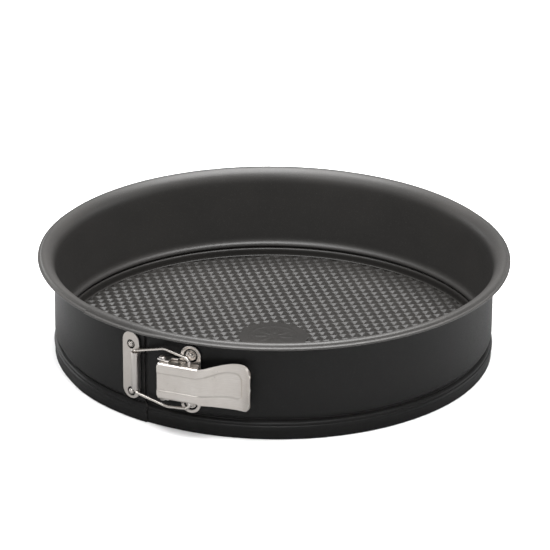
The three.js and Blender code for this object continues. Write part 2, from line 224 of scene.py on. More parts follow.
def round_corners(path, radius, steps=6):
    """Path whose inner corners are replaced by arcs of about the given radius."""
    p = [np.array(q, float) for q in path]
    out = [p[0]]
    for a, b, c in zip(p, p[1:], p[2:]):
        u, v = a - b, c - b
        lu, lv = np.linalg.norm(u), np.linalg.norm(v)
        u, v = u / lu, v / lv
        half = math.acos(max(-1, min(1, float(u @ v)))) / 2
        cut = min(radius / max(math.tan(half), 1e-3), 0.45 * lu, 0.45 * lv)
        s, e = b + u * cut, b + v * cut
        for k in range(steps + 1):
            t = k / steps
            out.append((1 - t) ** 2 * s + 2 * t * (1 - t) * b + t * t * e)
    out.append(p[-1])
    return out


def tube(path, radius, sides=20):
    """Round wire along a path, its two ends slightly rounded over."""
    p = [np.array(q, float) for q in path]
    d0, d1 = p[1] - p[0], p[-1] - p[-2]
    d0, d1 = d0 / np.linalg.norm(d0), d1 / np.linalg.norm(d1)
    e = 0.3 * radius
    p = [p[0], p[0] + d0 * e] + p[1:-1] + [p[-1] - d1 * e, p[-1]]
    size = [0.7] + [1.0] * (len(p) - 2) + [0.7]
    points, faces = [], []
    side = None
    for i, c in enumerate(p):
        t = p[min(i + 1, len(p) - 1)] - p[max(i - 1, 0)]
        t = t / np.linalg.norm(t)
        ref = np.array([0.0, 0.0, 1.0]) if side is None else side
        if side is None and abs(t[2]) > 0.9:
            ref = np.array([1.0, 0.0, 0.0])
        side = ref - t * float(ref @ t)
        side = side / np.linalg.norm(side)
        other = np.cross(t, side)
        for k in range(sides):
            a = 2 * math.pi * k / sides
            points.append(tuple(c + radius * size[i] * (side * math.cos(a) + other * math.sin(a))))
    for s in range(len(p) - 1):
        for i in range(sides):
            j = (i + 1) % sides
            a = s * sides
            faces.append([a + i, a + j, a + sides + j, a + sides + i])
    faces.append(list(range(sides)))
    last = (len(p) - 1) * sides
    faces.append([last + i for i in range(sides)])
    return points, faces


def cut_away(ob, shell):
    """Subtracts a closed shell from an object for good."""
    tool = make("cutter", shell, ob.data.materials[0])
    mod = ob.modifiers.new("cut", "BOOLEAN")
    mod.operation, mod.solver, mod.object = "DIFFERENCE", "EXACT", tool
    graph = bpy.context.evaluated_depsgraph_get()
    mesh = bpy.data.meshes.new_from_object(ob.evaluated_get(graph))
    ob.modifiers.clear()
    old, ob.data = ob.data, mesh
    bpy.data.meshes.remove(old)
    used = tool.data
    bpy.data.objects.remove(tool)
    bpy.data.meshes.remove(used)
    mesh.shade_smooth()
    mesh.set_sharp_from_angle(angle=math.radians(40))


# ---------------------------------------------------------------- materials

class Nodes:
    """Short hand for a material's node tree."""

    def __init__(self, name):
        self.material = bpy.data.materials.new(name)
        self.material.use_nodes = True
        self.tree = self.material.node_tree
        self.tree.nodes.clear()
        self.out = self.add("ShaderNodeOutputMaterial")
        self.shader = self.add("ShaderNodeBsdfPrincipled")
        self.link(self.shader, "BSDF", self.out, "Surface")
        self.coord = self.add("ShaderNodeTexCoord")

    def add(self, kind, **values):
        node = self.tree.nodes.new(kind)
        for key, value in values.items():
            setattr(node, key, value)
        return node

    def link(self, a, out, b, into):
        self.tree.links.new(a.outputs[out], b.inputs[into])

    def mapping(self, scale):
        node = self.add("ShaderNodeMapping")
        node.inputs["Scale"].default_value = scale
        self.link(self.coord, "Object", node, "Vector")
        return node

    def noise(self, scale, detail=2.0, roughness=0.5, stretch=None):
        node = self.add("ShaderNodeTexNoise")
        node.inputs["Scale"].default_value = scale
        node.inputs["Detail"].default_value = detail
        node.inputs["Roughness"].default_value = roughness
        if stretch:
            self.link(self.mapping(stretch), "Vector", node, "Vector")
        else:
            self.link(self.coord, "Object", node, "Vector")
        return node

    def ramp(self, source, output, stops):
        node = self.add("ShaderNodeValToRGB")
        ramp = node.color_ramp
        while len(ramp.elements) < len(stops):
            ramp.elements.new(0.5)
        for element, (at, colour) in zip(ramp.elements, stops):
            element.position = at
            element.color = (*colour, 1)
        self.link(source, output, node, "Fac")
        return node

    def spread(self, source, output, low, high, at=(0.3, 0.7)):
        node = self.add("ShaderNodeMapRange")
        for key, value in (("From Min", at[0]), ("From Max", at[1]), ("To Min", low), ("To Max", high)):
            node.inputs[key].default_value = value
        self.link(source, output, node, "Value")
        return node

    def mix(self, fac, fac_out, a, b):
        node = self.add("ShaderNodeMix", data_type="RGBA", blend_type="MIX")
        self.link(fac, fac_out, node, 0)
        for slot, value in ((6, a), (7, b)):
            if isinstance(value, tuple):
                node.inputs[slot].default_value = (*value, 1)
            else:
                output = "Color" if "Color" in value.outputs else 2
                self.tree.links.new(value.outputs[output], node.inputs[slot])
        return node

    def math(self, kind, a, a_out, b, b_out=None):
        node = self.add("ShaderNodeMath", operation=kind)
        self.tree.links.new(a.outputs[a_out], node.inputs[0])
        if isinstance(b, (int, float)):
            node.inputs[1].default_value = b
        else:
            self.tree.links.new(b.outputs[b_out], node.inputs[1])
        return node

    def bump(self, source, output, strength, distance, after=None):
        node = self.add("ShaderNodeBump")
        node.inputs["Strength"].default_value = strength
        node.inputs["Distance"].default_value = distance
        self.link(source, output, node, "Height")
        if after:
            self.link(after, "Normal", node, "Normal")
        return node


def grey(v, warm=0.0):
    return (v * (1 + warm), v, v * (1 - warm))


def coating(name, tone, fleck, rough, specular, warm=0.0, peel_by=0.16):
    """Dark baked non-stick coating: fine orange peel, a dusting of lighter flecks, rubbed edges."""
    n = Nodes(name)
    cloud = n.noise(14, 3, 0.6)
    grain = n.noise(2300, 2, 0.6)
    speck = n.noise(1100, 1, 0.4)
    base = n.ramp(cloud, "Fac", [(0.3, grey(tone * 0.88, warm)), (0.7, grey(tone * 1.12, warm + 0.02))])
    flecks = n.spread(grain, "Fac", 0.0, 1.0, (0.62, 0.74))
    toned = n.mix(flecks, "Result", base, grey(fleck, 0.05))
    point = n.add("ShaderNodeNewGeometry")
    worn = n.spread(point, "Pointiness", 0.0, 0.35, (0.56, 0.68))
    patchy = n.math("MULTIPLY", worn, "Result", n.noise(60, 4, 0.7), "Fac")
    final = n.mix(patchy, "Value", toned, grey(fleck * 1.6, 0.04))
    n.link(final, 2, n.shader, "Base Color")
    shine = n.spread(cloud, "Fac", rough - 0.03, rough + 0.03)
    fine = n.spread(speck, "Fac", -0.03, 0.03)
    total = n.math("ADD", shine, "Result", fine, "Result")
    n.link(total, "Value", n.shader, "Roughness")
    peel = n.bump(speck, "Fac", peel_by, 0.00006)
    sand = n.bump(grain, "Fac", peel_by, 0.00003, peel)
    n.link(sand, "Normal", n.shader, "Normal")
    n.shader.inputs["Specular IOR Level"].default_value = specular
    return n.material


def steel(name, tone, rough, stretch, grain, streak):
    """Satin stainless sheet or wire with drawn grain, faint smudges and brighter rubbed edges."""
    n = Nodes(name)
    smear = n.noise(90, 3, 0.6)
    lines = n.noise(streak, 3, 0.65, stretch)
    fine = n.noise(3200, 1, 0.5)
    base = n.ramp(smear, "Fac", [(0.3, grey(tone * 0.88, 0.07)), (0.7, grey(tone * 1.06, 0.05))])
    dull = n.spread(lines, "Fac", 0.0, 1.0, (0.35, 0.7))
    toned = n.mix(dull, "Result", base, grey(tone * 0.88, 0.07))
    point = n.add("ShaderNodeNewGeometry")
    worn = n.spread(point, "Pointiness", 0.0, 0.8, (0.53, 0.62))
    final = n.mix(worn, "Result", toned, grey(min(tone * 1.25, 0.9), 0.01))
    n.link(final, 2, n.shader, "Base Color")
    n.shader.inputs["Metallic"].default_value = 1.0
    shine = n.spread(smear, "Fac", rough - 0.04, rough + 0.05)
    strips = n.spread(lines, "Fac", -0.05, 0.06)
    total = n.math("ADD", shine, "Result", strips, "Result")
    n.link(total, "Value", n.shader, "Roughness")
    scratch = n.bump(lines, "Fac", grain, 0.00005)
    sand = n.bump(fine, "Fac", grain * 0.7, 0.00003, scratch)
    n.link(sand, "Normal", n.shader, "Normal")
    return n.material


# The outside is a real black coat, but its tone is set darker than that coat's own: the extra darkness is
# painted shade on the outer wall, against the floor's bounce light.
OUTER_COAT = coating("band_coating_outside", tone=0.0065, fleck=0.021, rough=0.38, specular=0.14)
INNER_COAT = coating("band_coating_inside", tone=0.028, fleck=0.078, rough=0.42, specular=0.34, warm=0.035)
BASE_COAT = coating("base_coating", tone=0.014, fleck=0.045, rough=0.40, specular=0.24, warm=0.06,
                    peel_by=0.06)
EVEN = (1.0, 1.0, 1.0)
LATCH = steel("latch_steel", tone=0.72, rough=0.33, stretch=(0.05, 0.05, 1.0), grain=0.07, streak=3600)
WIRE = steel("wire_steel", tone=0.72, rough=0.22, stretch=EVEN, grain=0.025, streak=1500)
ANCHOR = steel("anchor_steel", tone=0.60, rough=0.36, stretch=EVEN, grain=0.09, streak=2200)
RIVET = steel("rivet_steel", tone=0.66, rough=0.26, stretch=EVEN, grain=0.05, streak=1500)


def finish_piece(ob, slot, body, *nodes):
    """Hides the CAD nodes that the piece stands for and hangs it on the body it moves with; slot is not
    used.
    """
    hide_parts(*nodes)
    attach(ob, body)


# ---------------------------------------------------------------- band

SHEET, NEST = 0.6, 0.9                   # sheet thickness; spacing of the two sheets where they overlap
WALL_R, LATCH_Z = 130.2, 32.8            # wall's middle radius; height of the latch's middle
SEAM_PHI = -4.9                          # where the outer sheet ends, in degrees from the front
TAB_END_PHI, TAB_RIM_END_PHI = -24.5, -20.95
# Middle line of the sheet: radius, height, and the share of the overlap that the outer sheet takes.
BAND = [
    (130.45, 0.0, 1), (130.4, 1.6, 1), (130.6, 4.2, 1), (130.85, 6.1, 1), (130.55, 7.1, 1),
    (130.0, 7.7, 1), (130.1, 8.5, 1), (129.45, 9.3, 1), (128.2, 10.1, 1), (128.4, 11.3, 1),
    (129.45, 12.4, 0.6), (130.12, 13.9, 0), (WALL_R, 18, 0), (WALL_R, 30, 0), (WALL_R, 42, 0),
    (WALL_R, 52, 0), (130.4, 54.4, 0.1), (131.0, 56.5, 0.2), (132.15, 58.4, 0.4),
    (133.6, 59.8, 0.5), (135.2, 60.75, 0.5), (136.6, 61.05, 0.5), (137.6, 60.7, 0.5),
    (138.15, 59.95, 0.5), (138.6, 59.45, 0.5), (139.15, 59.4, 0.5), (139.65, 59.15, 0.5),
    (139.75, 58.75, 0.5), (139.45, 58.4, 0.5), (138.9, 58.3, 0.5),
]
STEPS = 3
SMOOTH_BAND = [(float(r), float(z), float(a)) for r, z, a in smooth_line(BAND, STEPS)]
ROLL_FROM = 21 * STEPS                   # first point of the rolled edge, which the outer sheet's lip lacks


def ramp(x, a, b):
    """Rises from 0 at a to 1 at b, and is level outside."""
    return min(1.0, max(0.0, (x - a) / (b - a)))


def line_normals(line):
    """Unit normals of an open line, to its right."""
    out = []
    for i in range(len(line)):
        a, b = line[max(0, i - 1)], line[min(len(line) - 1, i + 1)]
        d = (b[0] - a[0], b[1] - a[1])
        size = math.hypot(*d)
        out.append((d[1] / size, -d[0] / size))
    return out


BAND_N = line_normals(SMOOTH_BAND)


def ease(x):
    """Softens the ends of a ramp."""
    return x * x * (3 - 2 * x)


def outer_line(phi):
    """The left half's sheet: it steps out over the tab, and its flare ends in a short lip."""
    foot, rim = ease(ramp(phi, -38, -25)), ease(ramp(phi, -21.0, -20.6))
    edge, n = SMOOTH_BAND[ROLL_FROM - 1], BAND_N[ROLL_FROM - 1]
    lip_step, lip_droop = 0.03, 0.2
    out = []
    for i, (r, z, a) in enumerate(SMOOTH_BAND):
        if i >= ROLL_FROM:
            step = (i - ROLL_FROM + 1) * lip_step
            lip = (edge[0] + step + n[0] * NEST / 2, edge[1] - step * step * lip_droop + n[1] * NEST / 2)
            out.append((r + (lip[0] - r) * rim, z + (lip[1] - z) * rim))
            continue
        k = NEST * a * (rim if z > LATCH_Z else foot)
        out.append((r + BAND_N[i][0] * k, z + BAND_N[i][1] * k))
    return out


def inner_line(phi):
    """The right half's sheet: its tab steps in, and its rolled rim closes round the other's lip."""
    w = ramp(-phi, 3.6, 4.8)
    rim = ease(ramp(-phi, -3.0, 3.0))
    roll_out, roll_down = 0.35, 0.45     # how far the roll moves to make room for the lip
    out = []
    for i, (r, z, a) in enumerate(SMOOTH_BAND):
        if i >= ROLL_FROM:
            q = ease(min(1.0, (i - ROLL_FROM + 1) / 8))
            k = NEST * 0.5 * (1 - q) * rim
            out.append((r - BAND_N[i][0] * k + roll_out * q * rim,
                        z - BAND_N[i][1] * k - roll_down * q * rim))
            continue
        k = NEST * (1 - a) * (rim if z > 56 else w)
        out.append((r - BAND_N[i][0] * k, z - BAND_N[i][1] * k))
    return out


def sheet_band(stations, line_at, trim, cap_first=True, cap_last=True):
    """Sheet of the band between two angles, with its foot and its free ends squared off."""
    points, faces = [], []
    count = len(SMOOTH_BAND)
    for phi in stations:
        line = line_at(phi)
        normal = line_normals(line)
        normal[0] = (1.0, 0.0)
        h = SHEET / 2
        ring = [(r + a * h, z + b * h) for (r, z), (a, b) in zip(line, normal)]
        ring += [(r - a * h, z - b * h) for (r, z), (a, b) in zip(line, normal)][::-1]
        points += [polar(r, trim(phi, z), z) for r, z in ring]
    n = 2 * count
    for s in range(len(stations) - 1):
        for i in range(n):
            j = (i + 1) % n
            a, b = s * n, (s + 1) * n
            faces.append([a + i, a + j, b + j, b + i])
    for wanted, base in ((cap_first, 0), (cap_last, (len(stations) - 1) * n)):
        if wanted:
            for i in range(count - 1):
                quad = [base + i, base + i + 1, base + n - 2 - i, base + n - 1 - i]
                faces.append(quad if base == 0 else quad[::-1])
    return points, faces


def outwards(ob):
    """Turns faces so that the sheet's outer side looks away from the pan's axis."""
    mesh = ob.data
    total = 0.0
    for p in mesh.polygons:
        side = 1 if p.center.xy.length > WALL_R * MM else -1
        total += side * p.area * Vector((p.center.x, p.center.y, 0)).dot(p.normal)
    if total < 0:
        mesh.flip_normals()


def angles(a, b, step):
    """Evenly spaced values from a to b, about `step` apart."""
    n = max(1, round((b - a) / step))
    return [a + (b - a) * i / n for i in range(n + 1)]


def trim_tab(phi, z):
    """Towards the rim the tab stops short, so that its corner runs back at a slant."""
    fixed = -5
    if phi > fixed:
        return phi
    end = TAB_END_PHI + (TAB_RIM_END_PHI - TAB_END_PHI) * ramp(z, 50, 57)
    return fixed + (phi - fixed) * (end - fixed) / (TAB_END_PHI - fixed)


def trim_seam(phi, z):
    """The left half's free end is a little longer below the bead."""
    extra = 0.9
    return phi + extra * ramp(phi, -9, SEAM_PHI) * ramp(-z, -10.6, -9.6)


# The halves meet at the back, where a last short step keeps their shading alike.
back = 180
left_at = [-back, 0.05 - back] + angles(-back, -30, 1.0)[1:]
left_at += angles(-30, -19, 0.2)[1:] + angles(-19, SEAM_PHI, 0.9)[1:]
right_at = angles(TAB_END_PHI, -5, 1.3) + angles(-5, 2, 0.22)[1:]
right_at += angles(2, back, 1.0)[1:-1] + [back - 0.05, back]
left_sheet = sheet_band(left_at, outer_line, trim_seam, cap_first=False)
right_sheet = sheet_band(right_at, inner_line, trim_tab, cap_last=False)
band_left = make("band_left_half", left_sheet, OUTER_COAT, 50, False)
band_right = make("band_right_half", right_sheet, OUTER_COAT, 50, False)
for half, stations, body, node in ((band_left, left_at, "band_left", "ring_left"),
                                   (band_right, right_at, "band_right", "ring_right")):
    outwards(half)
    half.data.materials.append(INNER_COAT)
    across = len(SMOOTH_BAND) - 1
    around = 2 * len(SMOOTH_BAND)
    caps_from = (len(stations) - 1) * around
    half.data.polygons.foreach_set("material_index", [
        1 if q >= caps_from or across <= q % around < around - 1 else 0
        for q in range(len(half.data.polygons))])
    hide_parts("ring_rear", node)
    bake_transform(half)


# ---------------------------------------------------------------- base plate

FLOOR_Z, BASE_SHEET = 4.2, 0.7
FLOOR_R = 126.0                          # where the floor turns up into its edge
DISC_R, DISC_LAP = 20.4, 0.3             # plain disc in the middle, and how far it reaches under the cells
CUT_PRESS = 0.9                          # how deep cut-off dimples are, as a share of whole ones
PITCH, TURN = 5.8, math.radians(42)      # dimple spacing, and how far their rows are turned
SHIFT = (-2.3, 0.3)                      # where the rows start
SOFT_CORNER = 0.96                       # a dimple's corners, as a share of a square's


def clip(face, nx, ny, limit):
    """The part of a flat face on the near side of the line nx x + ny y = limit."""
    out = []
    for a, b in zip(face, face[1:] + face[:1]):
        da, db = limit - a[0] * nx - a[1] * ny, limit - b[0] * nx - b[1] * ny
        if da >= 0:
            out.append(a)
        if da * db < 0:
            t = da / (da - db)
            out.append(tuple(p + (q - p) * t for p, q in zip(a, b)))
    return out


def dimple(cx, cy, rings, around, tip):
    """One square cell with its dimple, as faces in the cell grid's own directions."""
    h, quarter = PITCH / 2, around // 4
    loops = []
    for size, depth in rings:
        loop = []
        for side in range(4):
            a = side * math.pi / 2
            ca, sa = math.cos(a), math.sin(a)
            spots = [(size * SOFT_CORNER, -size * SOFT_CORNER)]
            spots += [(size, -size * 0.4), (size, size * 0.4)] if quarter == 3 else [(size, 0.0)]
            loop += [(cx + u * ca - v * sa, cy + u * sa + v * ca, depth) for u, v in spots]
        loops.append(loop)
    corner = [(cx + h, cy - h, 0.0), (cx + h, cy + h, 0.0), (cx - h, cy + h, 0.0), (cx - h, cy - h, 0.0)]
    faces = []
    for side in range(4):
        part = [loops[0][(side * quarter + k) % around] for k in range(quarter + 1)]
        faces.append([corner[side], corner[(side + 1) % 4]] + part[::-1])
    for a, b in zip(loops, loops[1:]):
        faces += [[a[m], a[(m + 1) % around], b[(m + 1) % around], b[m]] for m in range(around)]
    faces += [[loops[-1][m], loops[-1][(m + 1) % around], (cx, cy, tip)] for m in range(around)]
    return faces


def floor_sheet(z, rings, around, tip, outer_r, upward):
    """The floor at height z: pressed dimples in a square grid, cut off by the edge and the disc."""
    ct, st = math.cos(TURN), math.sin(TURN)
    reach = int(FLOOR_R / PITCH) + 2
    points, faces = [], []
    for i in range(-reach, reach):
        for j in range(-reach, reach):
            cx, cy = (i + 0.5) * PITCH + SHIFT[0], (j + 0.5) * PITCH + SHIFT[1]
            half = PITCH / 2
            corners = [math.hypot(cx + a * half, cy + b * half) for a in (-1, 1) for b in (-1, 1)]
            near, far = min(corners), max(corners)
            if near > outer_r or far < DISC_R:
                continue
            d = math.hypot(cx, cy)
            whole = far < outer_r and near > DISC_R
            press = 1.0 if whole else CUT_PRESS if upward else 0.0
            cell = dimple(cx, cy, [(size, depth * press) for size, depth in rings], around, tip * press)
            if far >= outer_r:
                cell = [clip(face, cx / d, cy / d, outer_r) for face in cell]
            if near <= DISC_R:
                cell = [clip(face, -cx / d, -cy / d, -DISC_R) for face in cell]
            for face in cell:
                if len(face) > 2:
                    base = len(points)
                    points += [(u * ct - v * st, u * st + v * ct, z + h) for u, v, h in face]
                    order = range(len(face)) if upward else range(len(face) - 1, -1, -1)
                    faces.append([base + k for k in order])
    # Plain disc with a small rosette pressed in relief.
    n, radii = 96, [(DISC_R + DISC_LAP) * k / 40 for k in range(40, 0, -1)]
    # The disc's rim turns into the sheet, and its face lies a hair inside the cells' face.
    edge_drop, lap_drop = (-0.66, -0.01) if upward else (0.5, 0.01)
    base = len(points)
    for k, r in enumerate([radii[0]] + radii):
        for m in range(n):
            a = 2 * math.pi * m / n
            h = rosette(r, a) + lap_drop if k else edge_drop
            points.append((r * math.cos(a), r * math.sin(a), z + h))
    points.append((0, 0, z + rosette(0, 0)))
    for k in range(len(radii)):
        for m in range(n):
            a, b = base + k * n + m, base + k * n + (m + 1) % n
            face = [a, b, b + n, a + n]
            faces.append(face if upward else face[::-1])
    for m in range(n):
        face = [base + len(radii) * n + m, base + len(radii) * n + (m + 1) % n, len(points) - 1]
        faces.append(face if upward else face[::-1])
    return points, faces


def rosette(r, a):
    """Relief of the middle disc: a ring and eight plain leaves."""
    proud, ring_r, ring_width = 0.16, 14.6, 0.45
    leaf_r, leaf_length, leaf_width = 7.8, 4.3, 1.5
    ring = proud * math.exp(-((r - ring_r) / ring_width) ** 2)
    turn = (a % (math.pi / 4)) - math.pi / 8
    along, across = r * math.cos(turn) - leaf_r, r * math.sin(turn)
    inside = 1 - (along / leaf_length) ** 2 - (across / leaf_width) ** 2
    return ring + proud * ease(ramp(inside, 0.0, 0.35))


# Dimples from above and below: half width of the square, and depth.
top_rings = [(2.74, 0.0), (2.62, -0.04), (2.42, -0.14), (0.45, -0.98), (0.2, -1.05)]
low_rings = [(2.8, 0.0), (2.5, -0.1), (0.8, -0.9)]
# Upturned edge: a short wall behind the cut dimples, the rise, the lip over the top, and back down.
edge_line = [
    (FLOOR_R - 0.1, 3.54), (FLOOR_R - 0.1, 4.18), (FLOOR_R, 4.19), (126.35, 4.27),
    (126.62, 4.5), (126.8, 5.0), (126.9, 5.7), (126.97, 6.8), (127.1, 7.8),
    (127.4, 8.4), (127.85, 8.72), (128.35, 8.75), (128.75, 8.6), (128.9, 8.3), (128.85, 8.05),
    (128.6, 7.95), (128.2, 7.9), (127.85, 7.6), (127.7, 7.0), (127.62, 5.4), (127.4, 4.5),
    (127.0, 3.95), (126.4, 3.62), (FLOOR_R, 3.52),
]
edge_ring = lathe(edge_line[:3] + smooth_line(edge_line[3:], 2) + [edge_line[0]], 240)
top = floor_sheet(FLOOR_Z, top_rings, 12, -1.07, FLOOR_R, True)
low = floor_sheet(FLOOR_Z - BASE_SHEET, low_rings, 8, -1.02, FLOOR_R, False)
base = make("base_plate_pressed", merge(top, low, turned_out(edge_ring)), BASE_COAT, 50, False, 0.002)
finish_piece(base, "base_coating", "base", "base_plate")


# ---------------------------------------------------------------- latch

# Each latch piece is drawn as (sideways, outwards) from the pan's axis, at its own angle.
ANCHOR_PHI, LEVER_PHI = -8.6, 7.5
STRIP_W, STRIP_H, PLATE = 12, 41, 1.0
STRIP_N, STRIP_T = 130.8, 2.1            # the strips' backs; how far the bracket's strip lies to the right
PIVOT, PULL = (-13.0, 135.3), (3.9, 137.9)   # on the lever: its pin, and the bail's hooked ends
KNUCKLE = (4.1, 132.9)                   # on the anchor plate: the bail's bar
ANCHOR_Z, RIVET_Z = 31.1, 14.6           # height of the anchor's tunnel; rivets above and below it
WIRE_R, LEVER_HALF = 0.9, 10.9           # the wire's radius; half the lever's width over its flanges
SOFT = 0.22                              # rounding of the strips' edges
ANCHOR_HOLE_R, BRACKET_HOLE_R = 2.7, 4.15
PIN_HOLE_R, HOOK_HOLE_R = 1.6, 1.2


def arc(cx, cy, r, a, b, steps):
    """Points on a circle from angle a to b, in degrees."""
    return [(cx + r * math.cos(math.radians(a + (b - a) * i / steps)),
             cy + r * math.sin(math.radians(a + (b - a) * i / steps))) for i in range(steps + 1)]


# Anchor plate: its strip is cut away on the right, where a tunnel wraps the bail's bar.
k, kn = KNUCKLE
inner, outer = WIRE_R + 0.45, WIRE_R + 0.45 + PLATE - 0.05
half_tunnel = 11.4
window_x, window_h = k - inner - 0.5, half_tunnel + 0.4


def with_window(outline):
    """Stadium outline with its right side cut back over the window's height."""
    low_z, high_z = ANCHOR_Z - window_h, ANCHOR_Z + window_h
    pts = anticlockwise(outline)
    kept = [p for p in pts if not (p[0] > window_x + 0.2 and low_z - 0.3 < p[1] < high_z + 0.3)]
    at = kept.index(max((p for p in kept if p[0] > window_x and p[1] < ANCHOR_Z), key=lambda p: p[1]))

    def edge_x(z):
        over = max(0.0, abs(z - LATCH_Z) - (STRIP_H - STRIP_W) / 2)
        return math.sqrt(max(0.0, (STRIP_W / 2) ** 2 - over ** 2))

    corner = [(edge_x(low_z) - 0.02, low_z - 0.3), (edge_x(low_z) - 0.4, low_z), (window_x + 0.5, low_z),
              (window_x, low_z + 0.5), (window_x, high_z - 0.5), (window_x + 0.5, high_z),
              (edge_x(high_z) - 0.4, high_z), (edge_x(high_z) - 0.02, high_z + 0.3)]
    return kept[:at + 1] + corner + kept[at + 1:]


holes = [circle(0, ANCHOR_Z + s * RIVET_Z, ANCHOR_HOLE_R, 32) for s in (-1, 1)]
anchor_outline = with_window(stadium(0, LATCH_Z, STRIP_W, STRIP_H, 24))
flat_part = out_prism(prism(anchor_outline, STRIP_N, STRIP_N + PLATE, SOFT, holes))
tunnel = [(k - outer - 1.6, STRIP_N + PLATE + 0.02), (k - outer - 0.9, STRIP_N + PLATE + 0.04),
          (k - outer - 0.25, STRIP_N + PLATE + 0.35)]
tunnel += arc(k, kn, outer, 168, 0, 18) + [(k + outer, STRIP_N + 0.25), (k + outer - 0.25, STRIP_N),
                                          (k + inner + 0.2, STRIP_N), (k + inner, STRIP_N + 0.2)]
tunnel += arc(k, kn, inner, 0, 180, 14) + [(k - inner, STRIP_N + 0.5), (k - inner - 0.4, STRIP_N + 0.15),
                                          (k - outer - 1.6, STRIP_N + 0.15)]
wrap = prism(tunnel, ANCHOR_Z - half_tunnel, ANCHOR_Z + half_tunnel, 0.16)
anchor = make("anchor_plate_formed", place(merge(flat_part, wrap), ANCHOR_PHI), ANCHOR, 40)
finish_piece(anchor, "latch_steel", "band_left", "anchor_plate")

# Bracket: strip, web and two ears that carry the pivot pin.
ear_in, ear_out = LEVER_HALF + 0.3, LEVER_HALF + 0.3 + PLATE
bracket_holes = [circle(STRIP_T, LATCH_Z + s * RIVET_Z, BRACKET_HOLE_R, 40) for s in (-1, 1)]
bracket_outline = stadium(STRIP_T, LATCH_Z, STRIP_W, STRIP_H, 24)
strip_body = out_prism(prism(bracket_outline, STRIP_N, STRIP_N + PLATE, SOFT, bracket_holes))
web_outline = [(-9, LATCH_Z - ear_out), (-3.9, LATCH_Z - ear_out), (STRIP_T, LATCH_Z - ear_out + 1.2),
               (STRIP_T, LATCH_Z + ear_out - 1.2), (-3.9, LATCH_Z + ear_out), (-9, LATCH_Z + ear_out)]
web = out_prism(prism(web_outline, STRIP_N + 0.02, STRIP_N + PLATE - 0.02, 0.2))
pt, pn = PIVOT
ear = [(-4.6, STRIP_N), (-4.6, STRIP_N + 1.8), (-5.0, STRIP_N + 2.3), (-8.0, STRIP_N + 2.6),
       (-8.6, STRIP_N + 3.1), (-8.6, pn + 2.0), (-8.75, pn + 2.4), (-9.2, pn + 2.6),
       (pt - 2.5, pn + 1.6), (pt - 3.0, pn + 1.25), (pt - 3.15, pn + 0.7), (pt - 3.15, pn - 0.8),
       (pt - 2.4, pn - 2.2), (pt - 1.0, pn - 3.0), (-11.5, STRIP_N + 0.7), (-9.6, STRIP_N)]
ears = []
for s in (-1, 1):
    lo, hi = sorted((LATCH_Z + s * ear_in, LATCH_Z + s * ear_out))
    ears.append(prism(ear, lo, hi, 0.2, [circle(pt, pn, PIN_HOLE_R)]))
bracket = make("bracket_formed", place(merge(strip_body, web, *ears), LEVER_PHI), LATCH, 40)
finish_piece(bracket, "latch_steel", "band_right", "bracket")

# Rivets stand in their strips' open holes. The bracket's have a washer, and a tail inside the pan.
RIVET_HEAD = [(0, 0), (0.6, -0.02), (1.1, -0.15), (1.45, -0.4), (1.58, -0.75), (1.58, -1.0),
              (1.75, -1.12), (1.8, -1.7)]
WASHER_HEAD = [(0, 0), (0.9, -0.03), (1.5, -0.2), (1.95, -0.55), (2.05, -1.0), (2.0, -1.25), (2.75, -1.32),
               (2.85, -1.5), (2.8, -1.9), (3.15, -1.95), (3.2, -2.6)]


def rivet(name, phi, t, mid, tail, body):
    """A turned rivet, t sideways in the latch piece at angle phi, at height mid."""
    crown = STRIP_N + PLATE + (1.3 if tail else 0.85)
    head = WASHER_HEAD if tail else RIVET_HEAD
    line = [(r, crown + h) for r, h in head] + [(1.1, crown + head[-1][1] - 0.02)]
    inside = WALL_R - SHEET / 2
    if tail:
        line += [(1.1, inside), (2.0, inside - 0.05), (2.02, inside - 0.2), (1.85, inside - 0.5),
                 (1.3, inside - 0.75), (0, inside - 0.85)]
    else:
        line += [(1.1, inside + 0.1), (0, inside + 0.1)]
    p, f = lathe(line, 28)
    shell = [(t + x, h, mid + y) for x, y, h in p], f
    ob = make(name + "_domed", place(shell, phi), RIVET, 40)
    finish_piece(ob, "rivet_steel", body, name)


rivet("anchor_rivet_top", ANCHOR_PHI, 0, ANCHOR_Z + RIVET_Z, False, "band_left")
rivet("anchor_rivet_bottom", ANCHOR_PHI, 0, ANCHOR_Z - RIVET_Z, False, "band_left")
rivet("bracket_rivet_top", LEVER_PHI, STRIP_T, LATCH_Z + RIVET_Z, True, "band_right")
rivet("bracket_rivet_bottom", LEVER_PHI, STRIP_T, LATCH_Z - RIVET_Z, True, "band_right")

# Pivot pin with a domed head outside each ear.
reach = ear_out + 0.3
side = [(1.3, reach - 0.05), (1.95, reach - 0.03), (2.13, reach + 0.1), (2.1, reach + 0.4),
        (1.8, reach + 0.72), (1.2, reach + 0.94), (0.6, reach + 1.03), (0, reach + 1.05)]
p, f = lathe([(r, -h) for r, h in side[::-1]] + side, 28)
pin_shell = [(pt + x, pn + y, LATCH_Z + h) for x, y, h in p], f
pin = make("pivot_pin_turned", place(pin_shell, LEVER_PHI), RIVET, 40)
finish_piece(pin, "rivet_steel", "band_right", "pivot_pin")


def turned(p, phi):
    """A (sideways, outwards) point at an angle round the pan, in the pan's own x and y."""
    a = math.radians(phi)
    return np.array([p[0] * math.cos(a) + p[1] * math.sin(a), p[0] * math.sin(a) - p[1] * math.cos(a)])


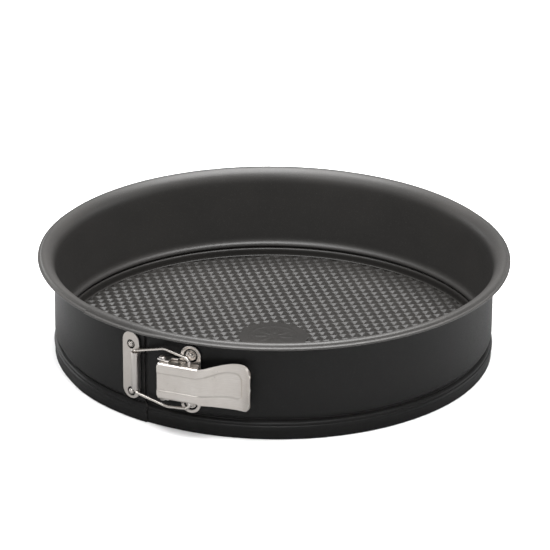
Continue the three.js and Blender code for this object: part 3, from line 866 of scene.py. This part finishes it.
# Bail: one round wire, bent out and in again, its ends hooked through the lever's flanges. Each
# point is a share of the way from the tunnel to the hooks, and a height.
c0, b0 = turned(KNUCKLE, ANCHOR_PHI), turned(PULL, LEVER_PHI)
upper = [(1.0, 42.6), (1.0, 46.8), (0.94, 48.5), (0.6, 49.8), (0.53, 49.9), (0.04, 43.8), (0.0, 43.2)]
lower = [(0.0, 18.4), (0.04, 17.3), (0.53, 15.1), (0.6, 15.0), (0.94, 17.4), (1.0, 19.2), (1.0, 23.0)]
run = [(*(c0 + (b0 - c0) * s), z) for s, z in upper + lower]
bail = make("bail_wire", tube(round_corners(run, 1.5, 7), WIRE_R), WIRE, 60)
finish_piece(bail, "wire_steel", "bail", "bail")


# ---------------------------------------------------------------- lever

# By distance along the lever: how far out its face is, its half width, how far in its flanges
# reach, and the middle panel's upper and lower edge.
FACE = [(-15.0, 140.25), (-14.2, 140.5), (-8, 140.5), (0, 140.5), (7.0, 140.5), (9.0, 140.4),
        (11.2, 139.75), (13.5, 138.5), (17.0, 136.2), (20.5, 134.2), (24.2, 132.4), (27.6, 131.3),
        (30.6, 130.9), (33.2, 131.35), (35.6, 132.3), (38.0, 133.5)]
HALF = [(-15.0, 9.6), (-14.2, 10.9), (9.5, 10.9), (13.0, 11.3), (17.7, 12.3), (22.0, 13.2), (26.5, 13.9),
        (31.0, 14.2), (33.6, 14.1), (35.6, 13.5), (37.0, 12.2), (37.8, 10.6), (38.2, 8.8)]
SKIRT = [(-15.0, 136.4), (-14.6, 134.6), (-13.6, 133.5), (-12.2, 133.0), (-9.0, 132.95), (0, 133.3),
         (6.3, 133.6), (7.6, 134.2), (8.5, 135.3), (9.0, 137.0), (9.3, 139.4)]
PANEL_END, PANEL_CORNER, PANEL_DEPTH = 32.4, 3.2, 0.5
RISE = [(-15, 4.9, -5.6), (9.0, 5.1, -5.6), (14, 6.2, -5.9), (20, 7.9, -6.3), (25, 8.7, -6.5),
        (29, 8.0, -7.4), (PANEL_END, 6.8, -7.9)]
LEVER_T, LEVER_SHEET = 9.2, 0.9          # where the channel runs out into the finger tab; its sheet


def at(table, t, column=1):
    """A table's value at distance t along the lever."""
    return float(np.interp(t, [row[0] for row in table], [row[column] for row in table]))


FACE_LINE = smooth_line(FACE, 4)


def relief(t, h):
    """Height of the lever's middle panel, pressed in a little with a soft crease round it."""
    mid = min(h - at(RISE, t, 2), at(RISE, t, 1) - h)
    corner_t = PANEL_END - PANEL_CORNER
    if t > corner_t:
        over = max(0.0, PANEL_CORNER - mid)
        mid = PANEL_CORNER - math.hypot(over, t - corner_t) if over > 0 else min(mid, PANEL_END - t)
    return -PANEL_DEPTH * ease(ramp(mid, -0.35, 0.45))


def lever_shell():
    """The lever as a bent sheet: rows along its length, each from flange to flange."""
    ts = sorted(set([-15.0, -14.8, -14.5, -14.2, -13.7] + angles(-13.5, 8.5, 0.55)
                    + [8.8, 9.0, 9.2, 9.35, 9.5] + angles(9.9, 37.4, 0.4) + [37.7, 38.0, 38.2]))
    flat_count, bend_count, skirt_count = 44, 6, 6
    surface = []
    for t in ts:
        n0 = at(FACE_LINE, t)
        half = at(HALF, t)
        channel = 1.0 if t < LEVER_T else max(0.0, 1 - (t - LEVER_T) / 0.5)
        radius = 1.5 * channel + 0.9 * (1 - channel)
        turn = math.radians(90 * channel + 24 * (1 - channel))
        drop = max(0.0, n0 - radius - at(SKIRT, t)) if t < LEVER_T + 0.15 else 0.0
        row = []
        edge = half - radius * math.sin(turn)
        for i in range(-flat_count // 2, flat_count // 2 + 1):
            h = edge * i / (flat_count / 2)
            row.append((h, n0 + relief(t, h)))
        side = []
        for b in range(1, bend_count + 1):
            a = turn * b / bend_count
            side.append((edge + radius * math.sin(a), n0 - radius * (1 - math.cos(a))))
        bottom = side[-1]
        for b in range(1, skirt_count + 1):
            side.append((bottom[0], bottom[1] - drop * b / skirt_count - 0.02 * b * (1 - channel)))
        row = [(-h, n) for h, n in side[::-1]] + row + side
        surface.append([np.array([t, n, h]) for h, n in row])
    grid = np.array(surface)
    dt = np.gradient(grid, axis=0)
    dh = np.gradient(grid, axis=1)
    normal = np.cross(dt, dh)
    size = np.linalg.norm(normal, axis=2, keepdims=True)
    normal = normal / np.maximum(size, 1e-9)
    if normal[len(ts) // 3, grid.shape[1] // 2, 1] < 0:
        normal = -normal
    rows, cols = grid.shape[:2]
    outer_skin, inner_skin = grid, grid - normal * LEVER_SHEET
    mid_skin = grid - normal * (LEVER_SHEET / 2)
    # A rounded edge: the border of each skin is drawn in, and a middle border stands proud.
    points = [tuple(p) for p in outer_skin.reshape(-1, 3)] + [tuple(p) for p in inner_skin.reshape(-1, 3)]
    faces = []
    size = rows * cols
    for i in range(rows - 1):
        for j in range(cols - 1):
            a = i * cols + j
            faces.append([a, a + 1, a + cols + 1, a + cols])
            faces.append([size + a, size + a + cols, size + a + cols + 1, size + a + 1])
    border = [(0, j) for j in range(cols - 1)] + [(i, cols - 1) for i in range(rows - 1)]
    border += [(rows - 1, j) for j in range(cols - 1, 0, -1)] + [(i, 0) for i in range(rows - 1, 0, -1)]
    middle = len(points)
    for i, j in border:
        away = mid_skin[i, j] - mid_skin[min(max(i, 2), rows - 3), min(max(j, 2), cols - 3)]
        away = away - normal[i, j] * float(away @ normal[i, j])
        length = np.linalg.norm(away)
        away = away / length if length > 1e-6 else away
        points.append(tuple(mid_skin[i, j] + away * 0.28))
    n = len(border)
    for q in range(n):
        w = (q + 1) % n
        a, b = border[q][0] * cols + border[q][1], border[w][0] * cols + border[w][1]
        faces.append([a, middle + q, middle + w, b])
        faces.append([middle + q, size + a, size + b, middle + w])
    return [(t, o, LATCH_Z + h) for t, o, h in points], faces


lever = make("lever_pressed", place(lever_shell(), LEVER_PHI), LATCH, 45)
for (t, o), r in ((PIVOT, PIN_HOLE_R), (PULL, HOOK_HOLE_R)):
    for s in (-1, 1):
        flange_z = LATCH_Z + s * LEVER_HALF
        drill = prism(circle(t, o, r), flange_z - 2.2, flange_z + 1.6, 0.02)
        cut_away(lever, place(drill, LEVER_PHI))
finish_piece(lever, "latch_steel", "lever", "lever")


# ---------------------------------------------------------------- camera, floor and lights

AIM_Z, AIM_RIGHT, AIM_UP, ROLL = 28, 0.6086, 14.888, 0.5982


def look(az, elevation, distance):
    """Camera matrix for the front view: the pan is seen from the right of its latch, from above."""
    e, a = math.radians(elevation), math.radians(az)
    d = distance * MM
    aim_z = AIM_Z * MM
    eye = Vector((d * math.cos(e) * math.sin(a), -d * math.cos(e) * math.cos(a), aim_z + d * math.sin(e)))
    right = Vector((math.cos(a), math.sin(a), 0))
    upward = Vector((-math.sin(e) * math.sin(a), math.sin(e) * math.cos(a), math.cos(e)))
    aim = Vector((0, 0, aim_z)) + right * AIM_RIGHT * MM + upward * AIM_UP * MM
    forward = (aim - eye).normalized()
    top_dir = (upward - forward * upward.dot(forward)).normalized()
    side_dir = forward.cross(top_dir)
    roll = math.radians(ROLL)
    x = side_dir * math.cos(roll) + top_dir * math.sin(roll)
    y = -side_dir * math.sin(roll) + top_dir * math.cos(roll)
    z = -forward
    return Matrix(((x.x, y.x, z.x, eye.x), (x.y, y.y, z.y, eye.y), (x.z, y.z, z.z, eye.z),
                   (0, 0, 0, 1)))


camera = bpy.data.objects.new("camera", bpy.data.cameras.new("camera"))
scene.collection.objects.link(camera)
camera.matrix_world = look(28.75, 23.5285, 1700)
camera.data.lens, camera.data.sensor_width = 186.156, 36
camera.data.clip_start, camera.data.clip_end = 0.05, 50
scene.camera = camera

floor_mesh = bpy.data.meshes.new("studio_floor")
half = 6.0
corners = [(-half, -half, 0), (half, -half, 0), (half, half, 0), (-half, half, 0)]
floor_mesh.from_pydata(corners, [], [(0, 1, 2, 3)])
floor = bpy.data.objects.new("studio_floor", floor_mesh)
floor.location.z = -0.0004
scene.collection.objects.link(floor)
paper = Nodes("studio_paper")
tint = paper.ramp(paper.noise(3, 2), "Fac", [(0.3, (0.93, 0.93, 0.93)), (0.7, (0.95, 0.95, 0.95))])
paper.link(tint, "Color", paper.shader, "Base Color")
paper.shader.inputs["Roughness"].default_value = 0.9
paper.shader.inputs["Specular IOR Level"].default_value = 0.1
floor_mesh.materials.append(paper.material)
floor.visible_glossy = False
floor.visible_shadow = False
# A darker twin of the floor that only shows in the pan's and the latch's reflections.
sheen_mesh = floor_mesh.copy()
sheen = bpy.data.objects.new("studio_floor_reflected", sheen_mesh)
sheen.location.z = -0.0005
scene.collection.objects.link(sheen)
card = Nodes("studio_card")
# It is brighter away to the left and right, so the pan's sides catch more light than its front.
sides = card.add("ShaderNodeSeparateXYZ")
card.link(card.coord, "Object", sides, "Vector")
away = card.math("ABSOLUTE", sides, "X", 0.0)
card.link(card.spread(away, "Value", 0.20, 0.46, (0.12, 0.27)), "Result", card.shader, "Base Color")
card.shader.inputs["Roughness"].default_value = 0.9
card.shader.inputs["Specular IOR Level"].default_value = 0.1
sheen_mesh.materials.clear()
sheen_mesh.materials.append(card.material)
sheen.visible_camera = False
sheen.visible_diffuse = False
sheen.visible_shadow = False

world = bpy.data.worlds.new("studio")
scene.world = world
world.use_nodes = True
# A bright sweep below the horizon and a dimmer room above it.
tree = world.node_tree
aim = tree.nodes.new("ShaderNodeTexCoord")
split = tree.nodes.new("ShaderNodeSeparateXYZ")
sky = tree.nodes.new("ShaderNodeMapRange")
for key, value in (("From Min", -0.06), ("From Max", 0.12), ("To Min", 0.76), ("To Max", 0.30)):
    sky.inputs[key].default_value = value
tree.links.new(aim.outputs["Generated"], split.inputs["Vector"])
tree.links.new(split.outputs["Z"], sky.inputs["Value"])
tree.links.new(sky.outputs["Result"], tree.nodes["Background"].inputs["Strength"])
tree.nodes["Background"].inputs["Color"].default_value = (1, 1, 1, 1)


def softbox(name, at_m, size, power):
    """A rectangular light aimed at the pan."""
    data = bpy.data.lights.new(name, "AREA")
    data.shape, data.size, data.size_y = "RECTANGLE", size[0], size[1]
    data.energy = power
    ob = bpy.data.objects.new(name, data)
    ob.location = at_m
    ob.rotation_euler = (Vector((0, 0, 0.03)) - Vector(at_m)).to_track_quat("-Z", "Y").to_euler()
    scene.collection.objects.link(ob)


softbox("overhead", (0.04, 0.1, 1.3), (1.3, 1.2), 70)
softbox("front_top", (-0.1, -1.0, 1.05), (1.2, 0.9), 10)
softbox("left_side", (-1.3, 0.1, 0.12), (0.9, 0.22), 2.5)
softbox("right_side", (1.1, 0.9, 0.12), (0.9, 0.22), 2.5)

scene.view_settings.view_transform = "Standard"
scene.view_settings.look = "None"
